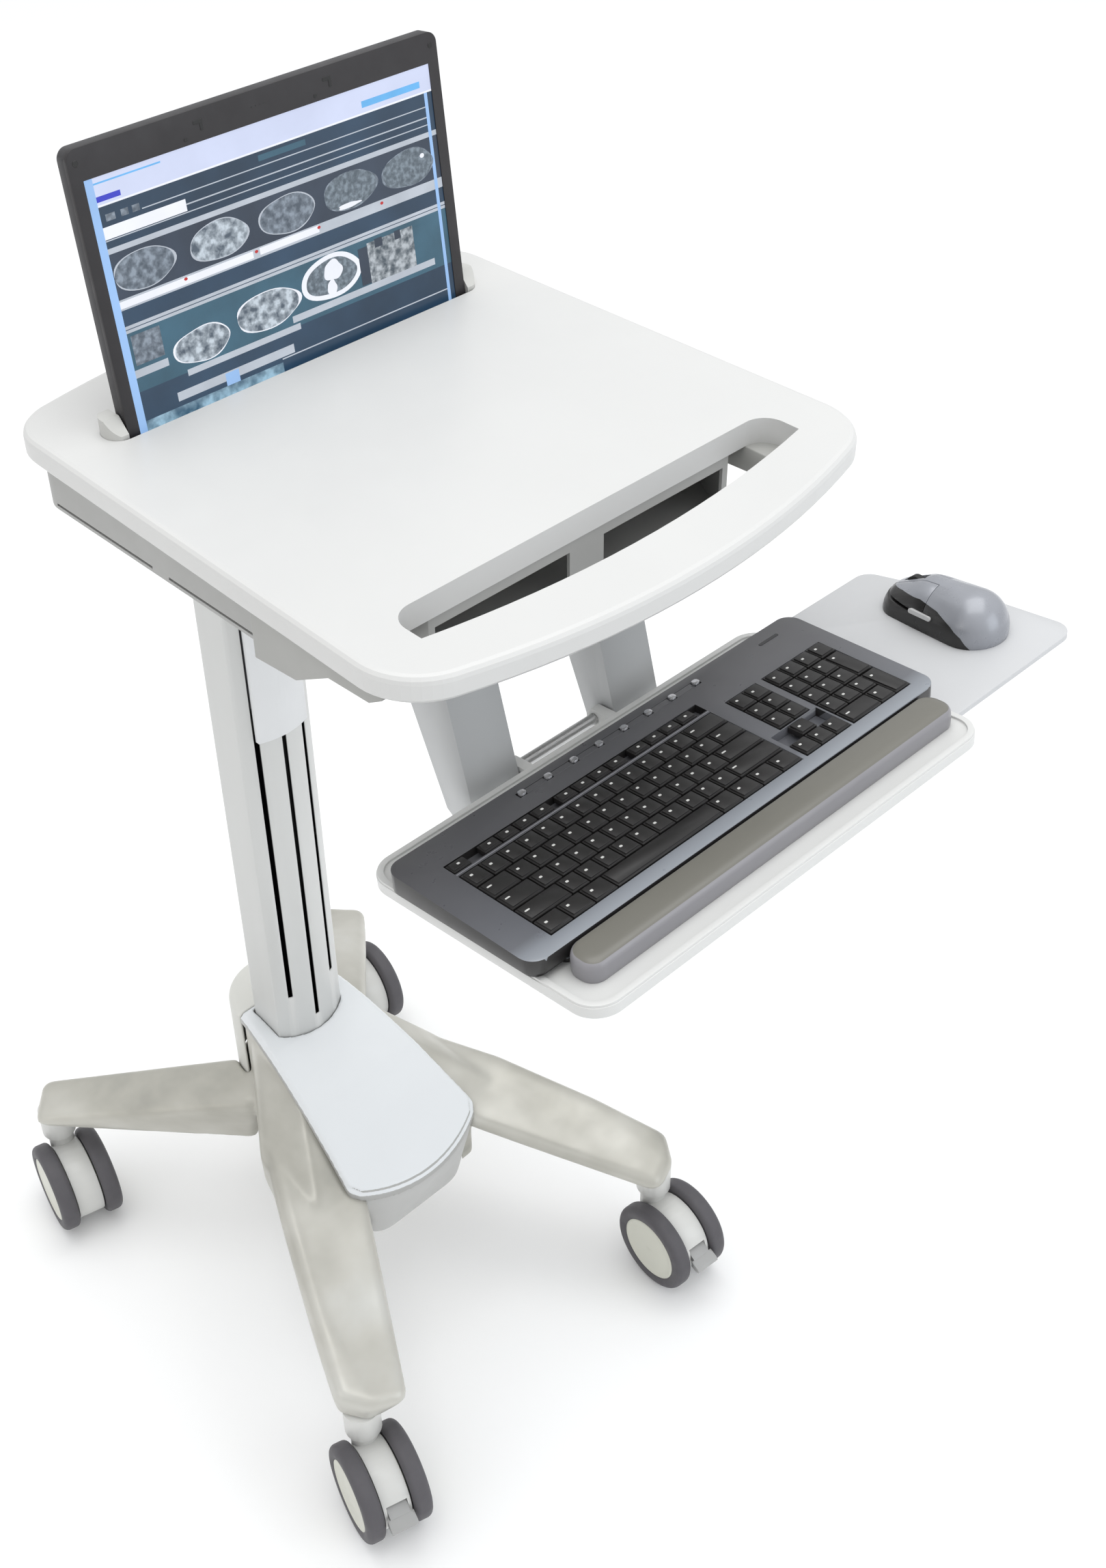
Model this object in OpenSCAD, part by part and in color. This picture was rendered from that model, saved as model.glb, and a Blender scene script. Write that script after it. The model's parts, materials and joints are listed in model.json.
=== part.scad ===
// Mobile computer cart: height-adjustable worktop with a laptop well, a keyboard tray on two arms,
// a pull-out mouse tray, a lift column and a four-legged base on twin-wheel casters.
// X is the user's right, -Y faces the user, Z is up. The worktop is drawn at its raised stop.

/* [Worktop] */
// height of the worktop's upper face above the floor
top_z = 1192; // [1180:1:1200]
// thickness of the worktop board
board_t = 22; // [18:1:28]
// half width of the board near its front corners
board_hw = 246; // [240:1:260]
// half width of the board near its rear corners
board_rear_hw = 236; // [225:1:245]
// how far the middle of the front edge stands in front of the cart's zero line
board_front = 475; // [465:1:500]
// radius of the two front corners
front_corner_r = 58; // [40:1:70]
// radius of the two rear corners
rear_corner_r = 48; // [30:1:60]
// radius of the rounded board edge
edge_r = 6; // [3:0.5:8]
// half length of the hand-grip opening
grip_hw = 196; // [150:1:205]
// width of the hand-grip opening at its middle
grip_w = 57; // [45:1:60]

/* [Laptop well] */
// half width of the well under the board
well_hw = 215; // [205:1:225]
// inside depth of the well
well_d = 59; // [56:1:66]
// wall thickness of the well
well_t = 3; // [2:0.5:5]

/* [Laptop] */
// width of the laptop
laptop_w = 354; // [330:1:366]
// length of the lid from the hinge to its top edge
lid_len = 264; // [250:1:275]
// thickness of the lid
lid_t = 13; // [10:0.5:14]
// backward lean of the lid in degrees
lid_tilt = 6.5; // [5:0.5:15]
// width of the visible screen
screen_w = 333; // [300:1:340]
// height of the visible screen
screen_h = 208; // [190:1:212]

/* [Keyboard tray] */
// width of the keyboard tray
tray_w = 446; // [430:1:480]
// depth of the keyboard tray
tray_d = 246; // [240:1:250]
// downward tilt of the tray towards the cart in degrees
tray_tilt = 6; // [0:0.5:10]
// width of the keyboard
kb_w = 458; // [440:1:460]
// depth of the keyboard
kb_d = 158; // [156:1:166]
// distance from one key to the next
key_pitch = 18.2; // [17.6:0.1:18.3]

/* [Lift column] */
// width of the column
col_w = 90; // [80:1:100]
// height of the column's top edge above the floor
col_top = 932; // [925:1:950]
// width of the long slots in the column's face
slot_w = 5; // [4.5:0.1:6]

/* [Base] */
// half distance between the left and right caster stems
stem_x = 225; // [215:1:240]
// distance from the zero line forward to the front caster stems
stem_front = 260; // [250:1:280]
// distance from the zero line back to the rear caster stems
stem_rear = 311; // [290:1:320]
// height of the leg's underside at the caster
leg_z = 150; // [142:1:154]

/* [Casters] */
// radius of the wheels
wheel_r = 55; // [50:1:56]
// width of one tyre
tyre_w = 21; // [18:1:23]
// distance from the swivel axis to the wheel axle
trail = 35; // [30:1:38]
// radius of the wheel axle
axle_r = 5; // [4:0.5:6]
// radial running gap in the bores
run_gap = 0.05; // [0.02:0.01:0.09]

/* [Placement] */
// shift of the whole cart along X that centres it on its bounding box
mid_x = 60.66; // [-100:0.01:100]
// shift of the whole cart along Y that centres it on its bounding box
mid_y = -124.83; // [-200:0.01:0]

/* [Hidden] */
$fn = 64;
under_z = top_z - board_t;
well_z = under_z - well_d;
front_R = 720;
rear_R = 960;
rear_y = 74;
slot_y0 = -43;
slot_y1 = -12;
slot_hw = 193;
grip_back = -363.5;
col_face = 60;
face_R = 71;
face_c = col_face + face_R;
col_back = 123;
hub_top = 240;
hinge_y = -37;
hinge_z = top_z - 45;
tilt_y = -330;
tilt_z = top_z - 239;
kb_y = -53;
arm_x = 81;
arm_w = 52;
arm_screw_y = [-280, -252];
row_pitch = 19;
kx0 = -197;
ky0 = -kb_d + 15;
nav_c = 16;
arrow_c = 15.3;
pad_c = 18.45;
media_x = -101.9;
media_pitch = 28.2;
media_n = 8;
rail_end = 170;
scroll_y = 33;
scroll_z = 21.5;
rod_y = 96;
cover_z = 745;
lever_x = 78;
lever_y = -442;
lever_z = under_z - 8;
swivels = [-16, -5, -13, -8];
pin_y = -trail - 38;
pin_z = 66;
hub_r = wheel_r - 15;

white = [0.93, 0.94, 0.94];
warm_white = [0.90, 0.90, 0.87];
light_grey = [0.75, 0.75, 0.73];
mid_grey = [0.60, 0.60, 0.58];
cast_grey = [0.72, 0.71, 0.66];
dark_grey = [0.27, 0.27, 0.29];
black = [0.06, 0.06, 0.06];
silver = [0.60, 0.62, 0.65];
steel = [0.66, 0.67, 0.68];

// ---------- helpers ----------

function arc(c, r, a0, a1, n) = [for (i = [0:n]) let (a = a0 + (a1 - a0) * i / n)
  [c[0] + r * cos(a), c[1] + r * sin(a)]];
// the mirror image of a half outline, without its own points on the centre line
function mirrored(pts) = [for (i = [len(pts) - 1:-1:0]) if (abs(pts[i][0]) > 0.001) [-pts[i][0], pts[i][1]]];

module place() { translate([-mid_x, -mid_y, 0]) children(); }

module rrect(x0, x1, y0, y1, r) {
  translate([x0 + r, y0]) square([x1 - x0 - 2 * r, y1 - y0]);
  translate([x0, y0 + r]) square([x1 - x0, y1 - y0 - 2 * r]);
  for (x = [x0 + r, x1 - r], y = [y0 + r, y1 - r]) translate([x, y]) circle(r);
}

module slab(z0, z1) { translate([0, 0, z0]) linear_extrude(z1 - z0) children(); }

// a bar along X with the given side profile in the Y-Z plane
module side_bar(x0, x1, pts) {
  translate([x0, 0, 0]) rotate([90, 0, 90]) linear_extrude(x1 - x0) polygon(pts);
}

module xcyl(x0, x1, y, z, r) { translate([x0, y, z]) rotate([0, 90, 0]) cylinder(r = r, h = x1 - x0); }

module ycyl(y0, y1, x, z, r) { translate([x, y1, z]) rotate([90, 0, 0]) cylinder(r = r, h = y1 - y0); }

// ---------- worktop ----------

function board_pts(d) = let (
    cr = front_corner_r - d, cx = board_hw - front_corner_r,
    by = -board_front + front_R, cy = by - sqrt(pow(front_R - front_corner_r, 2) - cx * cx),
    fa = atan2(cy - by, cx),
    rr = rear_corner_r - d, rx = board_rear_hw - rear_corner_r,
    ry0 = rear_y - rear_R, ry = ry0 + sqrt(pow(rear_R - rear_corner_r, 2) - rx * rx),
    ra = atan2(ry - ry0, rx),
    right = concat(arc([0, by], front_R - d, -90, fa, 10), arc([cx, cy], cr, fa + 4, 0, 10),
      arc([rx, ry], rr, 0, ra - 4, 10), arc([0, ry0], rear_R - d, ra, 90, 8)))
  concat(right, mirrored(right));

module grip_outline(d = 0) {
  e = grip_w - 44;
  R = (grip_hw * grip_hw / 1.6 + e * e) / (2 * e);
  intersection() {
    rrect(-grip_hw - d, grip_hw + d, grip_back - grip_w - d, grip_back + d, 20);
    translate([0, grip_back - grip_w + R - d]) circle(R, $fn = 256);
  }
}

// lugs under the grip that carry the release lever
module lever_lugs() {
  for (s = [-1, 1]) difference() {
    translate([lever_x + s * 41 - 1.5, lever_y - 8, lever_z - 7]) cube([3, 16, under_z - lever_z + 7]);
    xcyl(lever_x - 50, lever_x + 50, lever_y, lever_z, 3.5 + run_gap);
  }
}

module worktop() {
  color(white) place() union() {
    difference() {
      hull() {
        slab(under_z, under_z + 0.1) polygon(board_pts(edge_r * 0.7));
        slab(under_z + 1.6, under_z + 1.7) polygon(board_pts(edge_r * 0.25));
        slab(under_z + 4, top_z - edge_r) polygon(board_pts(0));
        slab(top_z - edge_r * 0.5, top_z - edge_r * 0.5 + 0.05) polygon(board_pts(edge_r * 0.14));
        slab(top_z - edge_r * 0.14, top_z - edge_r * 0.14 + 0.05) polygon(board_pts(edge_r * 0.5));
        slab(top_z - 0.05, top_z) polygon(board_pts(edge_r));
      }
      slab(under_z - 1, top_z + 1) grip_outline();
      slab(under_z - 1, top_z + 1) rrect(-slot_hw, slot_hw, slot_y0, slot_y1, 15);
      slab(under_z - 1, top_z + 1) rrect(-52, 52, 55.5, 90, 4);
    }
    lever_lugs();
  }
}

// white guides that hold the lid's lower edges at both slot ends
module slot_guides() {
  color(warm_white) place() for (s = [-1, 1]) scale([s, 1, 1])
    intersection() {
      slab(under_z, top_z + 16) rrect(-slot_hw + 0.2, slot_hw - 0.2, slot_y0 + 0.2, slot_y1 - 0.2, 14.8);
      side_bar(laptop_w / 2 + 1.2, slot_hw, [[slot_y0 + 2, under_z], [slot_y1 - 1, under_z],
        [slot_y1 - 1, top_z + 12], [slot_y1 - 4, top_z + 15], [-30, top_z + 15], [slot_y0 + 2, top_z + 3]]);
    }
}

// ---------- laptop well and what hangs from it ----------

function well_pts(d) = let (w = well_hw - d, r = 25 - d,
    half = concat([[158 - d * 0.4, -362 + d], [w, -262 + d * 0.6]], arc([well_hw - 25, 25], r, 0, 90, 10)))
  concat(half, mirrored(half));

module laptop_well() {
  color(light_grey) place() difference() {
    union() {
      slab(well_z + 4, under_z) polygon(well_pts(0));
      hull() {
        slab(well_z, well_z + 0.1) polygon(well_pts(3));
        slab(well_z + 3.9, well_z + 4) polygon(well_pts(0));
      }
    }
    slab(well_z + well_t, under_z + 1) polygon(well_pts(well_t));
    // two hand openings in the front wall
    for (x0 = [-152, 18]) translate([x0, -370, well_z + 12]) cube([134, 20, 37]);
    // screw holes for the bracket and the arms
    for (x = [-32, 32], z = [well_z + 16, under_z - 14]) ycyl(40, 55, x, z, 2.6);
    for (s = [-1, 1], y = arm_screw_y) translate([s * arm_x, y, well_z - 1]) cylinder(r = 2.6, h = 6);
    // two long vents low on each side
    for (s = [-1, 1], y = [[-105, 25], [-256, -126]])
      translate([s * (well_hw - 1.5) - 5, y[0], well_z + 7]) cube([10, y[1] - y[0], 2.4]);
  }
}

module side_brackets() {
  p = [[-256, well_z + 10], [-303, well_z + 14], [-341, under_z - 23], [-384, under_z - 21],
    [-398, under_z - 12], [-400, under_z], [-256, under_z]];
  color(mid_grey) place() for (s = [-1, 1]) scale([s, 1, 1]) difference() {
    side_bar(176, 233, p);
    slab(0, 2000) polygon(well_pts(0));
  }
}

// side profile of an arm, raked forward and narrower at the bottom
function arm_pts() = [[-342, tilt_z + 2], [-342, tilt_z - 14], [-334, tilt_z - 22], [-318, tilt_z - 22],
  [-312, tilt_z - 18], [-236, well_z], [-300, well_z]];

module arm_solid(s) {
  x0 = arm_x - arm_w / 2;
  x1 = arm_x + arm_w / 2;
  scale([s, 1, 1]) difference() {
    side_bar(x0, x1, arm_pts());
    // hollow back of the moulded arm
    side_bar(x0 + 5, x1 - 5, [[-322, tilt_z + 11], [-293, well_z - 18], [-200, well_z - 18], [-270, tilt_z + 11]]);
    // eye for the tilt shaft, closed at its outer end
    xcyl(x0 - 1, x1 - 4, tilt_y, tilt_z, 5 + run_gap);
    for (y = arm_screw_y) translate([arm_x, y, well_z - 12]) cylinder(r = 2.5, h = 20);
  }
}

module arm_left() { color(light_grey) place() arm_solid(-1); }
module arm_right() { color(light_grey) place() arm_solid(1); }

module arm_crossbar() {
  x = arm_x - arm_w / 2;
  color(mid_grey) place() side_bar(-x, x, [[-324, tilt_z - 22], [-324, tilt_z - 13], [-322, tilt_z - 11],
    [-316, tilt_z - 11], [-314, tilt_z - 13], [-314, tilt_z - 22]]);
}

module head_bracket() {
  color(steel) place() union() {
    difference() {
      slab(well_z + 6, under_z - 3) translate([-38, 50]) square([76, 20]);
      translate([0, face_c, 0]) cylinder(r = face_R + 6, h = 2000, $fn = 128);
      for (x = [-32, 32], z = [well_z + 16, under_z - 14]) ycyl(40, 80, x, z, 2.5);
    }
    // fin and boss that carry the lift rod
    difference() {
      slab(well_z + 16, well_z + 46) union() {
        translate([-1.8, 53]) square([3.6, 38]);
        translate([0, rod_y]) circle(9);
      }
      translate([0, rod_y, 0]) cylinder(r = 5, h = 2000);
    }
  }
}

module riser_cover() {
  color(white) place() difference() {
    slab(cover_z, under_z - 3) intersection() {
      difference() {
        translate([0, face_c]) circle(face_R + 6, $fn = 128);
        translate([0, face_c]) circle(face_R + 1.2, $fn = 128);
      }
      translate([-31, 50]) square([62, 40]);
    }
    // slit for the bracket's fin
    slab(well_z + 16, well_z + 46) translate([-1.8, 50]) square([3.6, 20]);
  }
}

module riser_sliders() {
  color(dark_grey) place() for (s = [-1, 1]) scale([s, 1, 1]) {
    slab(cover_z + 41, cover_z + 150) rrect(22, 36.5, 75.5, 94, 2);
    slab(cover_z + 41, cover_z + 150) intersection() {
      translate([27.3, 56]) square([3.4, 20]);
      translate([0, face_c]) circle(face_R + 1.2, $fn = 128);
    }
  }
}

module lift_cylinder() {
  color(dark_grey) place() translate([0, rod_y, 0]) difference() {
    union() {
      translate([0, 0, hub_top]) cylinder(r = 11, h = 477);
      translate([0, 0, hub_top]) cylinder(r = 16, h = 8);
    }
    translate([0, 0, hub_top + 12]) cylinder(r = 5 + run_gap, h = 500);
  }
}

module lift_rod() {
  color(steel) place() translate([0, rod_y, 672]) cylinder(r = 5, h = well_z + 46 - 672);
}

module release_lever() {
  color(dark_grey) place() union() {
    xcyl(lever_x - 42, lever_x + 42, lever_y, lever_z, 3.5);
    side_bar(lever_x - 38, lever_x + 38, [[lever_y, lever_z - 3.5], [lever_y + 17, lever_z - 4.5],
      [lever_y + 21, lever_z - 2.5], [lever_y + 20, lever_z - 0.5], [lever_y, lever_z + 3.5]]);
  }
}

// ---------- laptop ----------

module laptop_base() {
  hw = laptop_w / 2;
  color(dark_grey) place() difference() {
    union() {
      slab(well_z + 6, well_z + 30) rrect(-hw, hw, -302, -46, 10);
      for (s = [-1, 1]) for (y = [-280, -70]) translate([s * 160, y, well_z + well_t]) cylinder(r = 8, h = 3);
      // hinge towers at the rear
      for (s = [-1, 1]) scale([s, 1, 1])
        side_bar(120, 132, [[-60, well_z + 12], [-31, well_z + 12], [-30.5, hinge_z], [-34, hinge_z + 6],
          [-40, hinge_z + 6], [-46, well_z + 30], [-60, well_z + 30]]);
    }
    for (s = [-1, 1]) scale([s, 1, 1]) xcyl(115, 140, hinge_y, hinge_z, 3 + run_gap);
  }
}

module lid_frame() { translate([0, hinge_y, hinge_z]) rotate([-lid_tilt, 0, 0]) children(); }

module lid_shell() {
  hw = laptop_w / 2;
  color(dark_grey) place() lid_frame() union() {
    difference() {
      translate([0, lid_t / 2 - 0.5, 0]) rotate([90, 0, 0])
        slab(0, lid_t - 4.5) rrect(-hw, hw, 9, lid_len, 9);
      translate([0, -1.5, 0]) rotate([90, 0, 0]) slab(-1, 20) rrect(-screen_w / 2 - 6, screen_w / 2 + 6, 25, lid_len - 18, 3);
    }
    // hinge knuckles and pins
    for (s = [-1, 1]) scale([s, 1, 1]) {
      side_bar(133, 146, [[-4, -2], [-2, -4], [2, -4], [4, -2], [4, 10], [-2, 10], [-4, 4]]);
      xcyl(121, 134, 0, 0, 3);
    }
  }
}

module lid_bezel() {
  hw = laptop_w / 2;
  color(dark_grey) place() lid_frame() translate([0, lid_t / 2 - 0.5 - (lid_t - 4.5), 0]) rotate([90, 0, 0])
    slab(0, 4) difference() {
      rrect(-hw, hw, 9, lid_len, 9);
      translate([-screen_w / 2, lid_len - 24 - screen_h]) square([screen_w, screen_h]);
    }
}

module lid_screen() {
  color([0.20, 0.32, 0.42]) place() lid_frame() translate([0, lid_t / 2 - 0.5 - (lid_t - 4.5), 0])
    rotate([90, 0, 0]) {
      slab(-2, 0) translate([-screen_w / 2 - 4, lid_len - 28 - screen_h]) square([screen_w + 8, screen_h + 8]);
      slab(-1, 3) translate([-screen_w / 2 + 0.1, lid_len - 23.9 - screen_h])
        square([screen_w - 0.2, screen_h - 0.2]);
    }
}

// ---------- keyboard tray ----------

// local frame on the tilt shaft, with z square to the tray
module tray_frame() { translate([0, tilt_y, tilt_z]) rotate([-tray_tilt, 0, 0]) children(); }

module keyboard_tray() {
  hw = tray_w / 2;
  x0 = arm_x - arm_w / 2;
  front = -18 - tray_d;
  color(white) place() tray_frame() difference() {
    union() {
      slab(-1, 8) rrect(-hw, hw, front, -18, 24);
      slab(8, 10) difference() {
        rrect(-hw + 0.8, hw - 0.8, front + 0.8, -18.8, 23.2);
        rrect(-hw + 6, hw - 6, front + 6, -24, 18);
      }
      // lugs that carry the tilt shaft between the arms
      for (s = [-1, 1]) scale([s, 1, 1]) side_bar(x0 - 12, x0 - 2,
        [[-26, 0], [-24, -6], [-8, -9], [4, -9], [9, -4], [9, 3], [4, 8], [-14, 8], [-20, 7]]);
      // rails under the plate that carry the mouse tray
      side_bar(-hw + 30, rail_end, [[-25, 0], [-25, -6.8], [-31, -6.8], [-31, -8.6], [-20, -8.6], [-20, 0]]);
      side_bar(-hw + 30, rail_end, [[-229, 0], [-229, -8.6], [-218, -8.6], [-218, -6.8], [-224, -6.8], [-224, 0]]);
    }
    for (s = [-1, 1]) scale([s, 1, 1]) xcyl(x0 - 13, x0 - 1, 0, 0, 5);
  }
}

module tilt_shaft() {
  half = arm_x + arm_w / 2 - 4.3;
  color(steel) place() tray_frame() xcyl(-half, half, 0, 0, 5);
}

module kb_frame() { tray_frame() translate([0, kb_y, 8]) children(); }

// upper surface of the keyboard: a shallow wedge, thicker at the rear
function kb_top(y) = 25 + y * 5 / kb_d;

module kb_outline(d = 0) { rrect(-kb_w / 2 + d, kb_w / 2 - d, -kb_d + d, -d, 14 - d); }

module kb_wedge(z0, dz) {
  side_bar(-kb_w, kb_w, [[10, z0], [-kb_d - 10, z0], [-kb_d - 10, kb_top(-kb_d - 10) + dz],
    [10, kb_top(10) + dz]]);
}

module keyboard_case() {
  color(dark_grey) place() kb_frame() difference() {
    union() {
      intersection() { slab(0, 12) kb_outline(4); kb_wedge(2.5, 0); }
      intersection() { slab(8, 30) kb_outline(0); kb_wedge(8, 0); }
      for (x = [-190, 190], y = [-20, -150]) translate([x, y, 0]) cylinder(r = 7, h = 4);
    }
    // wells under the keys
    for (b = key_blocks()) translate([b[0], b[1], kb_top(b[1]) - 7]) cube([b[2], b[3], 30]);
    translate([media_x - 1, -14.6, kb_top(-15) - 5]) cube([(media_n - 1) * media_pitch + 8.6, 6.4, 30]);
  }
}

// key wells: x, y, width and depth
function key_blocks() = [
  [kx0 - 1, ky0 - 1, 15 * key_pitch + 1, 5 * row_pitch + 1],
  [kx0 - 1, ky0 + 5 * row_pitch + 3.6, 15 * key_pitch + 1, 13],
  [kx0 + arrow_c * key_pitch - 1, ky0 - 1, 3 * key_pitch + 0.8, 2 * row_pitch - 1],
  [kx0 + nav_c * key_pitch - 1, ky0 + 2 * row_pitch - 1, 2 * key_pitch + 1, 3 * row_pitch + 1],
  [kx0 + pad_c * key_pitch - 1, ky0 - 1, 4 * key_pitch + 1, 5 * row_pitch + 1]];

// one key cap standing proud of the case, at column c and row r, w and d in pitches
module cap(c, r, w = 1, d = 1, h = 2) {
  x = kx0 + c * key_pitch;
  y = ky0 + r * row_pitch;
  zt = kb_top(y) + h;
  translate([x, y, zt - 6]) linear_extrude(5) square([w * key_pitch - 1.2, d * row_pitch - 1.2]);
  translate([x + 1.3, y + 1.3, zt - 1]) linear_extrude(1.4) square([w * key_pitch - 3.8, d * row_pitch - 3.8]);
}

module keys_main() {
  color(black) place() kb_frame() {
    for (i = [0:12]) cap(i, 4);
    cap(13, 4, 2);
    cap(0, 3, 1.5);
    for (i = [0:11]) cap(1.5 + i, 3);
    cap(13.5, 3, 1.5);
    cap(0, 2, 1.75);
    for (i = [0:10]) cap(1.75 + i, 2);
    cap(12.75, 2, 2.25);
    cap(0, 1, 2.25);
    for (i = [0:9]) cap(2.25 + i, 1);
    cap(12.25, 1, 2.75);
    for (c = [0, 1.25, 2.5, 10, 11.25, 12.5]) cap(c, 0, 1.25);
    cap(13.75, 0, 1.25);
  }
}

module space_bar() { color(black) place() kb_frame() cap(3.75, 0, 6.25); }

module keys_function() {
  color(black) place() kb_frame() for (c = [0, 1.7, 2.7, 3.7, 4.7, 6.1, 7.1, 8.1, 9.1, 10.5, 11.5, 12.5, 13.5])
    translate([0, 4.6, 0]) cap(c, 5, 0.98, 0.62, 1.5);
}

module keys_right() {
  color(black) place() kb_frame() {
    for (c = [0:1], r = [2:4]) cap(nav_c + c, r);
    for (c = [0:2]) cap(arrow_c + c, 0);
    cap(arrow_c + 1, 1, 1, 0.9);
    for (c = [0:2], r = [1:3]) cap(pad_c + c, r);
    for (c = [0:3]) cap(pad_c + c, 4);
    cap(pad_c, 0, 2);
    cap(pad_c + 2, 0);
    cap(pad_c + 3, 0, 1, 2);
    cap(pad_c + 3, 2, 1, 2);
  }
}

module media_buttons() {
  color(silver) place() kb_frame() for (i = [0:media_n - 1])
    translate([media_x + i * media_pitch, -14.2, kb_top(-15) - 4]) linear_extrude(6) rrect(0, 6.6, 0, 5.6, 2.2);
}

module wrist_rest() {
  color([0.50, 0.50, 0.47]) place() tray_frame() union() {
    slab(8, 22) rrect(-203, 213, kb_y - kb_d - 31, kb_y - kb_d - 1, 13);
    slab(22, 25) rrect(-202, 212, kb_y - kb_d - 30, kb_y - kb_d - 2, 12);
    slab(25, 27) rrect(-200, 210, kb_y - kb_d - 28, kb_y - kb_d - 4, 10);
  }
}

// ---------- mouse tray and mouse ----------

module mouse_tray() {
  color(white) place() tray_frame() slab(-6.4, -1.4) union() {
    // tongue that slides between the rails
    translate([30, -223]) square([200, 196]);
    hull() {
      translate([224, -227]) square([6, 204]);
      translate([360, -40]) circle(16, $fn = 32);
      translate([394, -155]) circle(9, $fn = 32);
      translate([388, -209]) circle(18, $fn = 32);
    }
  }
}

module mouse_frame() { tray_frame() translate([350, -131, -1.4]) rotate([0, 0, -5]) children(); }

module mouse_solid() {
  difference() {
    hull() {
      translate([0, -31, 7]) scale([1, 0.95, 1.05]) sphere(32, $fn = 40);
      translate([0, 10, 3]) scale([0.9, 1, 1]) sphere(34, $fn = 40);
      translate([0, 37, 0]) scale([0.95, 0.8, 0.8]) sphere(31, $fn = 40);
    }
    translate([-100, -100, -100]) cube([200, 200, 100]);
  }
}

module mouse_body() {
  color(silver) place() mouse_frame() difference() {
    mouse_solid();
    // room for the two buttons and the wheel
    for (x = [-67, 7]) translate([x, 2, 13]) cube([60, 80, 60]);
    translate([-4, scroll_y - 12, scroll_z - 11]) cube([8, 24, 60]);
    xcyl(-8, 8, scroll_y, scroll_z, 1.5 + run_gap);
  }
}

module mouse_button(x0) {
  color(silver) place() mouse_frame() intersection() {
    mouse_solid();
    translate([x0, 2.6, 15.6]) cube([60, 80, 60]);
  }
}

module mouse_left_button() { mouse_button(-67.6); }
module mouse_right_button() { mouse_button(7.6); }

module mouse_wheel() {
  color(black) place() mouse_frame() union() {
    xcyl(-3, 3, scroll_y, scroll_z, 9.5);
    xcyl(-6.6, 6.6, scroll_y, scroll_z, 1.5);
  }
}

// ---------- column and base ----------

module col_outline(d) {
  intersection() {
    rrect(-col_w / 2 + d, col_w / 2 - d, col_face + d, col_back - d, 6 - d / 2);
    translate([0, face_c]) circle(face_R - d, $fn = 128);
  }
}

module col_slots(z1) {
  for (s = [[-29, 377], [0, 335], [29, 380]])
    translate([s[0] - slot_w / 2, col_face - 5, s[1]]) cube([slot_w, 25, z1 - s[1]]);
}

module column() {
  color([0.80, 0.81, 0.82]) place() difference() {
    slab(hub_top, col_top) difference() {
      col_outline(0);
      col_outline(3);
    }
    col_slots(col_top + 1);
  }
}

module column_cap() {
  color(warm_white) place() difference() {
    slab(col_top, col_top + 5) difference() {
      col_outline(0);
      col_outline(5);
    }
    col_slots(col_top + 10);
  }
}

// half plan of the sloped lid, wider towards the front
function lid_pts(d) = concat([[61 - d, 128], [67 - d, 88], [75 - d, 31], [87 - d, -51]],
  arc([82.5 - d, -90 + d], 11, 0, -55, 4), arc([0, 58], 182.5 - d, -62 - d * 0.25, -90, 8));
function lid_outline(d) = let (h = lid_pts(d))
  concat(h, [for (i = [len(h) - 2:-1:0]) [-h[i][0], h[i][1]]]);
// upper profile of the lid from the rear to the front, lowered by d
function lid_line(d) = [[128, 327 - d], [112, 326.5 - d], [88, 322 - d], [60, 314.5 - d], [31, 304 - d],
  [-11, 286 - d], [-51, 264 - d], [-102, 233 - d], [-140, 209 - d]];

// band between two such profiles
function lid_band(a, b) = concat(lid_line(a), [for (i = [len(lid_line(b)) - 1:-1:0]) lid_line(b)[i]]);

module column_room(z0, z1) {
  slab(z0, z1) union() {
    col_outline(-0.4);
    translate([-col_w / 2 - 0.4, col_back - 20]) square([col_w + 0.8, 21]);
  }
}

module base_lid() {
  color(white) place() difference() {
    union() {
      intersection() {
        slab(150, 330) polygon(lid_outline(0));
        side_bar(-120, 120, lid_band(4, 14));
      }
      intersection() {
        slab(150, 330) polygon(lid_outline(3.5));
        side_bar(-120, 120, lid_band(0, 6));
      }
    }
    column_room(150, 330);
  }
}

module base_cover() {
  color(warm_white) place() difference() {
    union() {
      translate([0, 128, 215]) cylinder(r = 61, h = 106);
      translate([0, 128, 321]) rotate_extrude() polygon([[0, 0], [61, 0], [60.2, 3], [57.5, 5.2], [54, 6], [0, 6]]);
    }
    column_room(200, 330);
    slab(200, 330) translate([-80, 0]) square([160, 128]);
    translate([0, 128, 200]) cylinder(r = 57.5, h = 117);
  }
}

module base_bin() {
  rear = -28.2;
  color([0.80, 0.80, 0.79]) place() difference() {
    intersection() {
      hull() {
        intersection() {
          slab(140, 330) polygon(lid_outline(3));
          side_bar(-120, 120, [[rear, 262.5], [-51, 250], [-102, 219], [-140, 195], [-140, 190], [-102, 206],
            [rear, 240]]);
        }
        slab(136, 139) rrect(-72, 72, -102, rear, 26);
        slab(122, 125) rrect(-60, 60, -92, rear, 26);
      }
      slab(120, 330) union() {
        polygon(lid_outline(13.4));
        translate([-120, -160]) square([240, 61.4]);
      }
    }
    slab(172, 400) rrect(-42, 42, -84, -36, 10);
  }
}

// one corner of a leg: a rounded top at p[0..2] and a smaller foot at p[3..5]
module leg_post(p) {
  translate([p[0], p[1], p[2] - 10]) cylinder(r = 14, h = 1, $fn = 32);
  translate([p[0], p[1], p[2] - 0.5]) cylinder(r = 8, h = 0.5, $fn = 32);
  translate([p[3], p[4], p[5]]) cylinder(r = 9, h = 1, $fn = 32);
}

module leg(points) {
  for (s = [-1, 1]) scale([s, 1, 1]) hull() for (p = points) leg_post(p);
}

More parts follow.
